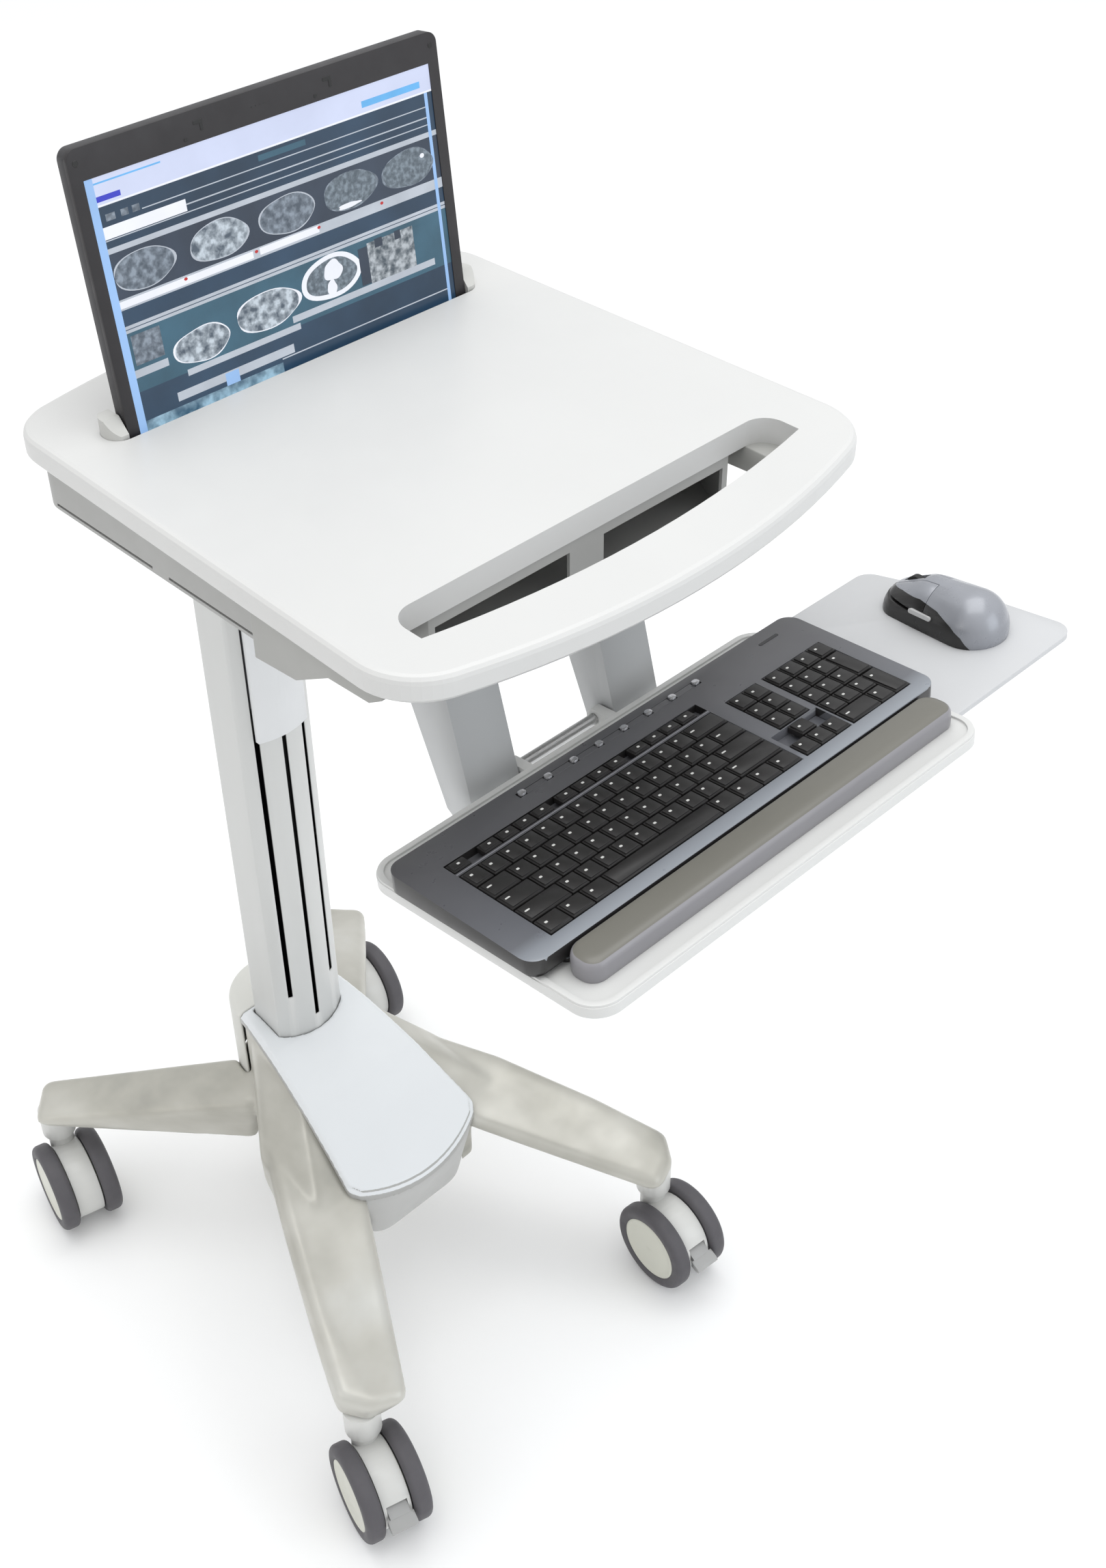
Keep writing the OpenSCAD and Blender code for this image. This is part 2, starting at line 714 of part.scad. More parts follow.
module base_casting() {
  color(cast_grey) place() difference() {
    union() {
      // side cheeks under the lid, round the nested bin
      intersection() {
        slab(150, 330) difference() {
          polygon(lid_outline(2.5));
          translate([-120, -160]) square([240, 62]);
          intersection() {
            polygon(lid_outline(13));
            translate([-120, -160]) square([240, 132]);
          }
        }
        side_bar(-120, 120, concat(lid_line(14.1), [[-140, 150], [128, 150]]));
      }
      slab(150, 215) intersection() {
        translate([0, 128]) circle(60);
        translate([-70, 127]) square([140, 80]);
      }
      // front legs, the fairings that join them to the cheeks, and rear legs
      leg([[236, -251, 184, 238, -251, leg_z], [221, -273, 180, 226, -272, leg_z],
        [197, -283, 176, 202, -274, leg_z], [203, -176, 208, 206, -176, 158],
        [152, -66, 235, 154, -66, 172], [91, 50, 252, 96, 50, 185], [79, -82, 226, 86, -84, 208]]);
      leg([[54, 98, 300, 62, 98, 205], [65, 20, 284, 90, 20, 200], [80, -78, 231, 86, -80, 208],
        [150, -118, 210, 156, -118, 178], [118, 10, 242, 122, 10, 188]]);
      leg([[241, 299, 166, 240, 299, leg_z], [214, 329, 166, 214, 327, leg_z], [80, 104, 222, 84, 104, 160],
        [50, 136, 232, 56, 136, 160]]);
    }
    column_room(hub_top, 400);
    // the space that the bin fills
    slab(100, 400) union() {
      intersection() {
        polygon(lid_outline(13));
        translate([-120, -160]) square([240, 132]);
      }
      intersection() {
        polygon(lid_outline(2.9));
        translate([-120, -160]) square([240, 61.6]);
      }
    }
    // the space under the lid and inside the rear cover
    intersection() {
      slab(180, 400) polygon(lid_outline(-0.2));
      side_bar(-120, 120, concat(lid_line(14.1), [[-140, 400], [128.4, 400], [128.4, 312]]));
    }
    intersection() {
      translate([0, 128, 215]) cylinder(r = 62, h = 106);
      slab(200, 330) translate([-80, 127.8]) square([160, 80]);
    }
    for (i = [0:3]) translate([stem(i)[0], stem(i)[1], leg_z - 1]) cylinder(r = 6 + run_gap, h = 13);
  }
}

// ---------- casters ----------

// stem positions: front left, front right, rear left, rear right
function stem(i) = [[-stem_x, -stem_front], [stem_x, -stem_front], [-stem_x, stem_rear], [stem_x, stem_rear]][i];

module caster_frame(i) {
  place() translate([stem(i)[0], stem(i)[1], 0]) rotate([0, 0, swivels[i]]) children();
}

module caster_body(i) {
  color(warm_white) caster_frame(i) difference() {
    union() {
      xcyl(-15.5, 15.5, -trail, wheel_r, 47);
      translate([0, 0, wheel_r]) cylinder(r = 15, h = leg_z - 2 - wheel_r);
      translate([0, 0, 112]) cylinder(r = 20, h = leg_z - 113.5);
      translate([0, 0, leg_z - 10]) cylinder(r = 6, h = 20);
      xcyl(-35, 35, -trail, wheel_r, axle_r);
    }
    if (i < 2) {
      // pocket and pin holes for the brake pedal
      translate([-12, pin_y - 30, 0]) cube([24, 42, pin_z + 9]);
      xcyl(-20, 20, pin_y, pin_z, 3 + run_gap);
    }
  }
}

module caster_fl() { caster_body(0); }
module caster_fr() { caster_body(1); }
module caster_rl() { caster_body(2); }
module caster_rr() { caster_body(3); }

module brake_pedal(i) {
  color(mid_grey) caster_frame(i) union() {
    xcyl(-15.2, 15.2, pin_y, pin_z, 3);
    side_bar(-11.5, 11.5, [[pin_y - 4, pin_z - 4], [pin_y + 3, pin_z - 5], [pin_y + 5, pin_z],
      [pin_y + 3, pin_z + 5], [pin_y - 3, pin_z + 5], [pin_y - 14, pin_z - 2], [pin_y - 14, pin_z - 11]]);
    side_bar(-15, 15, [[pin_y - 13, pin_z - 10], [pin_y - 13, pin_z - 2], [pin_y - 23, pin_z - 6],
      [pin_y - 26, pin_z - 9], [pin_y - 25, pin_z - 12], [pin_y - 21, pin_z - 13]]);
  }
}

module pedal_left() { brake_pedal(0); }
module pedal_right() { brake_pedal(1); }

// local frame of a wheel on one side of a caster, z pointing outwards from its inner face
module wheel_frame(i, s) {
  caster_frame(i) translate([0, -trail, wheel_r]) rotate([0, s * 90, 0]) translate([0, 0, 17]) children();
}

module tyre(i, s) {
  color([0.33, 0.32, 0.34]) wheel_frame(i, s) rotate_extrude()
    polygon(concat([[hub_r, 0.5], [wheel_r - 7, 0]], arc([wheel_r - 6, 6], 6, -90, 0, 6),
      arc([wheel_r - 7, tyre_w - 7], 7, 0, 90, 6), [[wheel_r - 12, tyre_w - 0.4], [hub_r, tyre_w - 1.5]]));
}

module hub(i, s) {
  color([0.90, 0.90, 0.83]) wheel_frame(i, s) rotate_extrude()
    polygon([[axle_r + run_gap, 1.2], [hub_r, 1.2], [hub_r, tyre_w - 1.5], [hub_r - 2, tyre_w - 0.8],
      [hub_r - 4, tyre_w - 1.8], [0, tyre_w - 1.2], [0, 18.2], [axle_r + run_gap, 18.2]]);
}

module tyre_fl_left() { tyre(0, -1); }
module tyre_fl_right() { tyre(0, 1); }
module tyre_fr_left() { tyre(1, -1); }
module tyre_fr_right() { tyre(1, 1); }
module tyre_rl_left() { tyre(2, -1); }
module tyre_rl_right() { tyre(2, 1); }
module tyre_rr_left() { tyre(3, -1); }
module tyre_rr_right() { tyre(3, 1); }
module hub_fl_left() { hub(0, -1); }
module hub_fl_right() { hub(0, 1); }
module hub_fr_left() { hub(1, -1); }
module hub_fr_right() { hub(1, 1); }
module hub_rl_left() { hub(2, -1); }
module hub_rl_right() { hub(2, 1); }
module hub_rr_left() { hub(3, -1); }
module hub_rr_right() { hub(3, 1); }

// ---------- fasteners ----------

module screws() {
  color(steel) place() {
    // through the well's rear wall into the head bracket
    for (x = [-32, 32], z = [well_z + 16, under_z - 14]) {
      ycyl(50 - well_t - 2.4, 50 - well_t, x, z, 4.5);
      ycyl(50 - well_t, 60, x, z, 2.5);
    }
    // through the well's floor into the arms
    for (s = [-1, 1], y = arm_screw_y) translate([s * arm_x, y, 0]) {
      translate([0, 0, well_z + well_t]) cylinder(r = 4.5, h = 2.4);
      translate([0, 0, well_z - 10]) cylinder(r = 2.5, h = 10 + well_t);
    }
  }
}

base_casting();
base_cover();
base_lid();
base_bin();
column();
column_cap();
lift_cylinder();
lift_rod();
riser_cover();
riser_sliders();
head_bracket();
worktop();
laptop_well();
slot_guides();
side_brackets();
arm_left();
arm_right();
arm_crossbar();
tilt_shaft();
release_lever();
laptop_base();
lid_shell();
lid_bezel();
lid_screen();
keyboard_tray();
keyboard_case();
media_buttons();
keys_main();
keys_function();
keys_right();
space_bar();
wrist_rest();
mouse_tray();
mouse_body();
mouse_left_button();
mouse_right_button();
mouse_wheel();
caster_fl();
caster_fr();
caster_rl();
caster_rr();
tyre_fl_left();
tyre_fl_right();
tyre_fr_left();
tyre_fr_right();
tyre_rl_left();
tyre_rl_right();
tyre_rr_left();
tyre_rr_right();
hub_fl_left();
hub_fl_right();
hub_fr_left();
hub_fr_right();
hub_rl_left();
hub_rl_right();
hub_rr_left();
hub_rr_right();
pedal_left();
pedal_right();
screws();
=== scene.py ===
"""Laptop computer cart: materials, fine detail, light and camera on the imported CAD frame."""
import json
import math

import bpy
import bmesh
from mathutils import Matrix, Vector


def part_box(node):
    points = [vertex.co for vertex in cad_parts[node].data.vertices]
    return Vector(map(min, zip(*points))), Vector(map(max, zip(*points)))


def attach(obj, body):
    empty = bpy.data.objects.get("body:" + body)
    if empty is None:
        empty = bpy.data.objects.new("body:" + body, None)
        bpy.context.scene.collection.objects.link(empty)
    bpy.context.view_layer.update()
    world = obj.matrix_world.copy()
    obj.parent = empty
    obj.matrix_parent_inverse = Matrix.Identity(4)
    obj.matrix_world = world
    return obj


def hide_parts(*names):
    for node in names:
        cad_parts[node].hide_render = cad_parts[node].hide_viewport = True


MM = 0.001
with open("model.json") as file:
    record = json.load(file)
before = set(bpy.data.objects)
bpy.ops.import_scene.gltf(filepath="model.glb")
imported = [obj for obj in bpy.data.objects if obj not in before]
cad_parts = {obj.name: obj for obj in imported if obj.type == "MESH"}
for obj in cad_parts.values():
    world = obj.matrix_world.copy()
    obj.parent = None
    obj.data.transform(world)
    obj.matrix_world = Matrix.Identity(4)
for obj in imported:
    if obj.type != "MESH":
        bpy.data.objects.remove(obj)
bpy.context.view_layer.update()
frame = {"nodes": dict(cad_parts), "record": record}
NODES = frame["nodes"]

# ---------- places, from the frame ----------

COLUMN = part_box("column")
COLUMN_REAR_Y = 0.123
TOP_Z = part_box("worktop")[1].z
SHIFT = Vector(((COLUMN[0].x + COLUMN[1].x) / 2, COLUMN[1].y - COLUMN_REAR_Y, 0))
TRAY_TILT = math.radians(6)
LID_TILT = math.radians(6.5)
SCREEN_W = 0.333
SCREEN_H = 0.208
SCREEN_DROP = 0.024
SCREEN_Y = -0.0055
SAME_POINT = 0.00002


def at(x, y, z):
    """A point in mm, with x from the column's middle plane and y 0 at 123 mm ahead of its rear face."""
    return Vector((x, y, z)) * MM + SHIFT


def leaning(y, below, angle):
    """The frame of a part that leans about a crosswise axis at y and so far below the worktop, in mm."""
    place = at(0, y, 0) + Vector((0, 0, TOP_Z - below * MM))
    return Matrix.Translation(place) @ Matrix.Rotation(-angle, 4, "X")


TRAY = leaning(-330, 239, TRAY_TILT)
LID = leaning(-37, 45, LID_TILT)
LID_TOP = max((LID.inverted() @ v.co).z for v in NODES["lid_shell"].data.vertices)
MOUSE = (TRAY @ Matrix.Translation(Vector((350, -131, -1.4)) * MM)
         @ Matrix.Rotation(math.radians(-5), 4, "Z"))


# ---------- materials ----------

class Shader:
    """One procedural material: a Principled shader with mottled colour, varied roughness and bump."""

    def __init__(self, name, colour, rough=0.5, metallic=0.0):
        self.mat = bpy.data.materials.new(name)
        self.mat.use_nodes = True
        self.tree = self.mat.node_tree
        self.bsdf = self.tree.nodes["Principled BSDF"]
        self.bsdf.inputs["Base Color"].default_value = (*colour, 1)
        self.bsdf.inputs["Roughness"].default_value = rough
        self.bsdf.inputs["Metallic"].default_value = metallic
        self.colour = colour
        self.rough = rough
        self.mat.diffuse_color = (*colour, 1)

    def node(self, kind, **values):
        made = self.tree.nodes.new(kind)
        for key, value in values.items():
            setattr(made, key, value)
        return made

    def link(self, a, b):
        self.tree.links.new(a, b)

    def position(self, stretch=(1, 1, 1)):
        """Object coordinates, in metres, stretched along the axes."""
        coords = self.node("ShaderNodeTexCoord")
        mapping = self.node("ShaderNodeMapping")
        mapping.inputs["Scale"].default_value = stretch
        self.link(coords.outputs["Object"], mapping.inputs["Vector"])
        return mapping.outputs["Vector"]

    def noise(self, scale, detail=3.0, stretch=(1, 1, 1)):
        made = self.node("ShaderNodeTexNoise")
        made.inputs["Scale"].default_value = scale
        made.inputs["Detail"].default_value = detail
        self.link(self.position(stretch), made.inputs["Vector"])
        return made.outputs["Fac"]

    def ramp(self, factor, stops):
        made = self.node("ShaderNodeValToRGB")
        elements = made.color_ramp.elements
        while len(elements) < len(stops):
            elements.new(0.5)
        for element, (place, colour) in zip(elements, stops):
            element.position = place
            element.color = (*colour, 1)
        self.link(factor, made.inputs["Fac"])
        return made.outputs["Color"]

    def range(self, factor, low, high):
        made = self.node("ShaderNodeMapRange")
        made.inputs["From Min"].default_value = 0.3
        made.inputs["From Max"].default_value = 0.7
        made.inputs["To Min"].default_value = low
        made.inputs["To Max"].default_value = high
        self.link(factor, made.inputs["Value"])
        return made.outputs["Result"]

    def maths(self, operation, a, b=0.0):
        step = self.node("ShaderNodeMath", operation=operation)
        for socket, value in zip(step.inputs, (a, b)):
            if isinstance(value, float):
                socket.default_value = value
            else:
                self.link(value, socket)
        return step.outputs[0]

    def axes(self, matrix=None):
        """X, Y and Z in the row frame, or in a part's own frame."""
        coords = self.node("ShaderNodeTexCoord")
        split = self.node("ShaderNodeSeparateXYZ")
        if matrix is None:
            self.link(coords.outputs["Object"], split.inputs[0])
            return split.outputs
        back = matrix.inverted()
        turn = self.node("ShaderNodeMapping")
        turn.inputs["Rotation"].default_value = back.to_euler()
        turn.inputs["Location"].default_value = back.translation
        self.link(coords.outputs["Object"], turn.inputs["Vector"])
        self.link(turn.outputs["Vector"], split.inputs[0])
        return split.outputs

    def facing_up(self, limit):
        """1 where the normal's Z is over a limit, 0 elsewhere."""
        surface = self.node("ShaderNodeNewGeometry")
        split = self.node("ShaderNodeSeparateXYZ")
        self.link(surface.outputs["Normal"], split.inputs[0])
        return self.maths("GREATER_THAN", split.outputs["Z"], limit)

    def pick(self, factor, off, on):
        """Sets the base colour to one of two colours or colour sockets."""
        mix = self.node("ShaderNodeMix", data_type="RGBA")
        self.link(factor, mix.inputs["Factor"])
        for socket, value in ((mix.inputs["A"], off), (mix.inputs["B"], on)):
            if isinstance(value, tuple):
                socket.default_value = (*value, 1)
            else:
                self.link(value, socket)
        self.link(mix.outputs["Result"], self.bsdf.inputs["Base Color"])
        return self

    def tone(self, scale, colour, amount, stretch=(1, 1, 1)):
        """A mottled colour as a socket."""
        dark = [c * (1 - amount) for c in colour]
        light = [min(1, c * (1 + amount)) for c in colour]
        return self.ramp(self.noise(scale, 4, stretch), [(0.3, dark), (0.7, light)])

    def mottle(self, scale, amount, stretch=(1, 1, 1)):
        """Base colour that drifts between a darker and a lighter tone."""
        self.link(self.tone(scale, self.colour, amount, stretch), self.bsdf.inputs["Base Color"])
        return self

    def ramp_along(self, place, start, end, stops):
        """A ramp over a place that runs from start to end, in metres."""
        share = self.node("ShaderNodeMapRange")
        share.inputs["From Min"].default_value = start
        share.inputs["From Max"].default_value = end
        self.link(place, share.inputs["Value"])
        return self.ramp(share.outputs["Result"], stops)

    def scuff(self, scale, spread, stretch=(1, 1, 1)):
        """Roughness that varies over the surface."""
        rough = self.range(self.noise(scale, 5, stretch), self.rough - spread, self.rough + spread)
        self.link(rough, self.bsdf.inputs["Roughness"])
        return self

    def grain(self, scale, strength, depth=0.0001, stretch=(1, 1, 1)):
        """Fine bump."""
        bump = self.node("ShaderNodeBump")
        bump.inputs["Strength"].default_value = strength
        bump.inputs["Distance"].default_value = depth
        self.link(self.noise(scale, 2, stretch), bump.inputs["Height"])
        self.link(bump.outputs["Normal"], self.bsdf.inputs["Normal"])
        return self

    def set(self, **sockets):
        for name, value in sockets.items():
            self.bsdf.inputs[name.replace("_", " ")].default_value = value
        return self


def plastic(name, colour, rough=0.4, mottle=0.03, grain=0.15, coat=0.0):
    made = Shader(name, colour, rough).mottle(9, mottle).scuff(60, 0.06).grain(900, grain, 0.00005)
    return made.set(Coat_Weight=coat, Coat_Roughness=0.15).mat


def painted(name, colour, rough=0.45):
    """Powder coat: an even colour with orange-peel bump."""
    return Shader(name, colour, rough).mottle(7, 0.03).scuff(40, 0.05).grain(900, 0.25, 0.0001).mat


def cast_metal():
    """Polished cast legs: warm grey with broad soft streaks along them."""
    made = Shader("cast_metal", (0.45, 0.44, 0.40), 0.36, 0.25)
    streaks = made.noise(6.5, 4, (1.0, 1.0, 2.4))
    colour = made.ramp(streaks, [(0.25, (0.27, 0.265, 0.24)), (0.42, (0.42, 0.41, 0.365)),
                                 (0.60, (0.52, 0.51, 0.465)), (0.78, (0.60, 0.60, 0.57))])
    made.link(colour, made.bsdf.inputs["Base Color"])
    made.scuff(22, 0.08, (1, 1, 3)).grain(120, 0.10, 0.0002)
    return made.mat


def brushed(name, colour, rough=0.32, stretch=(1, 1, 40)):
    made = Shader(name, colour, rough, 0.9).mottle(30, 0.06, stretch).scuff(120, 0.08, stretch)
    return made.grain(500, 0.2, 0.00005, stretch).mat


def column_metal():
    """Anodised extrusion with painted shade: near-black on the hidden inner walls and down in the slots."""
    made = Shader("column_metal", (0.60, 0.61, 0.62), 0.38, 0.2)
    made.scuff(50, 0.05, (1, 1, 0.05)).grain(700, 0.12, 0.00005, (1, 1, 0.02))
    face_radius, skin = 0.071, 0.0012
    x, y, _ = made.axes()
    low, high = COLUMN
    across = made.maths("ABSOLUTE", made.maths("SUBTRACT", x, SHIFT.x))
    along = made.maths("SUBTRACT", y, low.y + face_radius)
    reach = made.maths("SQRT", made.maths("ADD", made.maths("MULTIPLY", across, across),
                                          made.maths("MULTIPLY", along, along)))
    front = made.maths("LESS_THAN", reach, face_radius - skin)
    sides = made.maths("LESS_THAN", across, (high.x - low.x) / 2 - skin)
    back = made.maths("LESS_THAN", y, high.y - skin)
    painted_shade_inside = made.maths("MULTIPLY", made.maths("MULTIPLY", front, sides), back)
    # Painted shade: the inner walls seen through the slots get near-black in place of the metal.
    made.pick(painted_shade_inside, made.tone(6, (0.58, 0.585, 0.575), 0.06, (1, 1, 0.15)), (0.012, 0.012, 0.013))
    return made.mat


def keyboard_shell():
    """Satin grey that turns bluish silver along the user's edge, with painted shade: near-black sides."""
    made = Shader("keyboard_shell", (0.085, 0.085, 0.09), 0.32)
    low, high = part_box("keyboard_case")
    _, y, _ = made.axes()
    colour = made.ramp_along(y, low.y, high.y, [
        (0.0, (0.26, 0.28, 0.31)), (0.09, (0.20, 0.215, 0.24)), (0.16, (0.115, 0.12, 0.135)),
        (0.8, (0.085, 0.085, 0.092)), (1.0, (0.065, 0.065, 0.07))])
    # Painted shade: faces that do not face up, such as the undercut sides, get near-black.
    made.pick(made.facing_up(0.25), (0.016, 0.015, 0.015), colour)
    made.scuff(70, 0.05).grain(700, 0.08, 0.00004).set(Coat_Weight=0.2, Coat_Roughness=0.2)
    return made.mat


def painted_facing_light(name, top, side, rough, limit=0.45):
    """Moulded plastic with painted light: faces turned from the upright get another colour than the upper
    face, painted shade where it is darker and painted sheen where it is lighter.
    """
    made = Shader(name, top, rough)
    # Painted light: the side colour stands for shade or sheen on faces that turn from the upright.
    made.pick(made.facing_up(limit), made.tone(12, side, 0.03), made.tone(9, top, 0.012))
    made.scuff(60, 0.05).grain(1500, 0.1, 0.00004)
    return made.mat


def mouse_shell():
    """Silver shell over black side panels, whose upper edge is an arch along the mouse."""
    made = Shader("mouse_shell", (0.30, 0.31, 0.34), 0.3, 0.2)
    palm_y, front_y, full_height = -0.0614, 0.0618, 0.05
    _, y, z = made.axes(MOUSE)
    arch = made.ramp_along(y, palm_y, front_y, [
        (0.10, (0, 0, 0)), (0.16, (0.22,) * 3), (0.25, (0.36,) * 3), (0.40, (0.48,) * 3),
        (0.58, (0.52,) * 3), (0.78, (0.46,) * 3), (1.0, (0.34,) * 3)])
    limit = made.maths("MULTIPLY", arch, full_height)
    panel = made.maths("LESS_THAN", z, limit)
    made.pick(panel, made.tone(40, (0.29, 0.30, 0.33), 0.04), (0.012, 0.011, 0.011))
    made.scuff(90, 0.05).set(Coat_Weight=0.3, Coat_Roughness=0.12)
    return made.mat


def lit(name, colour, strength=0.85, mottle=0.0, scale=300.0):
    """A patch of the lit display."""
    made = Shader(name, [c * 0.25 for c in colour], 0.35)
    glow = made.ramp(made.noise(scale, 6), [(0.30, [c * (1 - mottle) for c in colour]),
                                            (0.70, [min(1, c * (1 + mottle)) for c in colour])])
    made.link(glow, made.bsdf.inputs["Emission Color"])
    made.set(Emission_Strength=strength)
    return made.mat


def scan(name, low, high, scale):
    """A grey scan slice: cloudy tissue in emitted light."""
    made = Shader(name, (0.05, 0.06, 0.07), 0.35)
    cloud = made.noise(scale, 8)
    glow = made.ramp(cloud, [(0.36, low), (0.50, [(a + b) / 2.4 for a, b in zip(low, high)]), (0.64, high)])
    made.link(glow, made.bsdf.inputs["Emission Color"])
    made.set(Emission_Strength=0.85)
    return made.mat


PAINT = {
    "worktop_white": plastic("worktop_skin", (0.60, 0.60, 0.592), 0.40, 0.012, 0.2, 0.08),
    "well_grey": plastic("well_skin", (0.36, 0.36, 0.35), 0.5),
    "guide_white": plastic("guide_skin", (0.52, 0.52, 0.50), 0.42),
    # Painted shade: the lid's sides are a grey step darker than its white top.
    "base_white": painted_facing_light("base_lid_skin", (0.70, 0.72, 0.735), (0.40, 0.40, 0.39), 0.36),
    "shell_white": plastic("base_cover_skin", (0.62, 0.62, 0.585), 0.42),
    "bin_grey": plastic("bin_skin", (0.50, 0.50, 0.49), 0.5, 0.03, 0.3),
    "cap_plastic": plastic("cap_skin", (0.58, 0.58, 0.56), 0.45),
    "dark_plastic": plastic("dark_skin", (0.03, 0.03, 0.033), 0.5),
    "tray_white": plastic("tray_skin", (0.62, 0.622, 0.612), 0.38, 0.012, 0.15, 0.08),
    "mouse_tray_white": plastic("mouse_tray_skin", (0.53, 0.535, 0.545), 0.5, 0.02, 0.3),
    "laptop_dark": plastic("laptop_skin", (0.030, 0.029, 0.032), 0.45, 0.05, 0.4),
    "bezel_black": plastic("bezel_skin", (0.018, 0.016, 0.018), 0.5, 0.08, 0.5),
    "screen_glass": lit("display_glass", (0.035, 0.085, 0.13), 0.7, 0.2, 12.0),
    "key_black": plastic("key_skin", (0.011, 0.010, 0.010), 0.45, 0.08, 0.3),
    "caster_white": plastic("caster_skin", (0.62, 0.62, 0.60), 0.38, 0.02, 0.1, 0.1),
    "pedal_grey": plastic("pedal_skin", (0.36, 0.36, 0.355), 0.5, 0.03, 0.3),
    "hub_ivory": plastic("hub_skin", (0.60, 0.60, 0.525), 0.38, 0.02, 0.1, 0.1),
    "mouse_silver": mouse_shell(),
    # Painted sheen: the pad's rolled edges are lighter and bluer than its top.
    "rest_grey": painted_facing_light("rest_skin", (0.155, 0.150, 0.130), (0.24, 0.235, 0.25), 0.34, 0.8),
    "tyre_grey": Shader("tyre_rubber", (0.082, 0.078, 0.086), 0.6).mottle(25, 0.08).scuff(90, 0.08)
    .grain(1100, 0.3, 0.0001).mat,
    "wheel_black": Shader("scroll_rubber", (0.012, 0.012, 0.012), 0.6).mottle(60, 0.1).grain(1500, 0.4).mat,
    "arm_grey": painted("arm_paint", (0.50, 0.51, 0.515), 0.45),
    "bracket_grey": painted("bracket_paint", (0.34, 0.34, 0.325), 0.5),
    "cover_white": painted("riser_paint", (0.68, 0.69, 0.70), 0.4),
    "dark_metal": painted("cylinder_paint", (0.02, 0.02, 0.022), 0.35),
    "bright_steel": brushed("steel_brushed", (0.45, 0.45, 0.45)),
    "media_chrome": brushed("media_metal", (0.55, 0.55, 0.57), 0.2, (1, 1, 1)),
    "cast_grey": cast_metal(),
    "column_metal": column_metal(),
    "keyboard_grey": keyboard_shell(),
}


def paint_nodes():
    """Gives each CAD node the material of its slot in the record."""
    for part in frame["record"]["subparts"]:
        node = NODES[part["node"]]
        node.data.materials.clear()
        node.data.materials.append(PAINT[part["material_slot"]])


# ---------- mesh helpers ----------

def piece(name, bm, material, body, matrix=None, smooth=None):
    """A finished mesh object that rides on a body."""
    mesh = bpy.data.meshes.new(name)
    bmesh.ops.recalc_face_normals(bm, faces=bm.faces)
    bm.to_mesh(mesh)
    bm.free()
    if matrix is not None:
        mesh.transform(matrix)
    for m in material if isinstance(material, list) else [material]:
        mesh.materials.append(m)
    made = bpy.data.objects.new(name, mesh)
    bpy.context.collection.objects.link(made)
    if smooth is not None:
        mesh.shade_smooth()
        smooth_by_angle(made, smooth)
    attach(made, body)
    return made


def smooth_by_angle(obj, degrees):
    """Keeps the edges that fold by more than an angle sharp."""
    mesh = obj.data
    bm = bmesh.new()
    bm.from_mesh(mesh)
    for edge in bm.edges:
        if len(edge.link_faces) == 2:
            edge.smooth = edge.calc_face_angle(0) < math.radians(degrees)
    bm.to_mesh(mesh)
    bm.free()


def soften(name, width, segments):
    """Rounds a CAD node's edges by a width in mm; its own mesh stays as packed."""
    node = NODES[name]
    weld = node.modifiers.new("weld", "WELD")
    weld.merge_threshold = SAME_POINT
    bevel = node.modifiers.new("round", "BEVEL")
    bevel.width = width * MM
    bevel.segments = segments
    bevel.limit_method = "ANGLE"
    bevel.angle_limit = math.radians(35)
    bevel.harden_normals = True
    node.data.shade_smooth()


def melt(name, voxel, passes):
    """Remeshes a CAD node in voxels of a size in mm and relaxes it, for forms with soft edges."""
    node = NODES[name]
    remesh = node.modifiers.new("remesh", "REMESH")
    remesh.mode = "VOXEL"
    remesh.voxel_size = voxel * MM
    remesh.use_smooth_shade = True
    relax = node.modifiers.new("relax", "SMOOTH")
    relax.factor = 0.6
    relax.iterations = passes


def islands(name, matrix):
    """The separate solids of a CAD node as boxes in a local frame."""
    mesh = NODES[name].data
    bm = bmesh.new()
    bm.from_mesh(mesh)
    bmesh.ops.remove_doubles(bm, verts=bm.verts, dist=SAME_POINT)
    back = matrix.inverted()
    seen = set()
    found = []
    for vert in bm.verts:
        if vert.index in seen:
            continue
        stack = [vert]
        seen.add(vert.index)
        points = []
        while stack:
            v = stack.pop()
            points.append(back @ v.co)
            for edge in v.link_edges:
                other = edge.other_vert(v)
                if other.index not in seen:
                    seen.add(other.index)
                    stack.append(other)
        low = Vector([min(p[i] for p in points) for i in range(3)])
        high = Vector([max(p[i] for p in points) for i in range(3)])
        found.append((low, high))
    bm.free()
    return found


def rounded_outline(width, height, radius, steps=5):
    """Points round a rectangle with rounded corners, centred on zero."""
    points = []
    for cx, cy, start in ((1, 1, 0), (-1, 1, 90), (-1, -1, 180), (1, -1, 270)):
        for k in range(steps + 1):
            a = math.radians(start + 90 * k / steps)
            points.append((cx * (width / 2 - radius) + radius * math.cos(a),
                           cy * (height / 2 - radius) + radius * math.sin(a)))
    return points


def close_rings(bm, rings):
    """Makes a closed solid from a stack of rings of vertices."""
    bm.faces.new(reversed(rings[0]))
    bm.faces.new(rings[-1])
    for lower, upper in zip(rings, rings[1:]):
        for k in range(len(lower)):
            j = (k + 1) % len(lower)
            bm.faces.new((lower[k], lower[j], upper[j], upper[k]))


def add_plate(bm, matrix, centre, width, height, radius, z0, z1, crown=0.0):
    """Adds a rounded plate lying in the local XY plane, with a slightly narrower crown."""
    smallest = 0.00005
    rings = []
    for z, shrink in ((z0, 0.0), (z1 - crown, 0.0), (z1, crown)):
        outline = rounded_outline(width - 2 * shrink, height - 2 * shrink, max(radius - shrink, smallest))
        rings.append([bm.verts.new(matrix @ Vector((centre[0] + x, centre[1] + y, z)))
                      for x, y in outline])
    close_rings(bm, rings)


# ---------- keyboard detail ----------

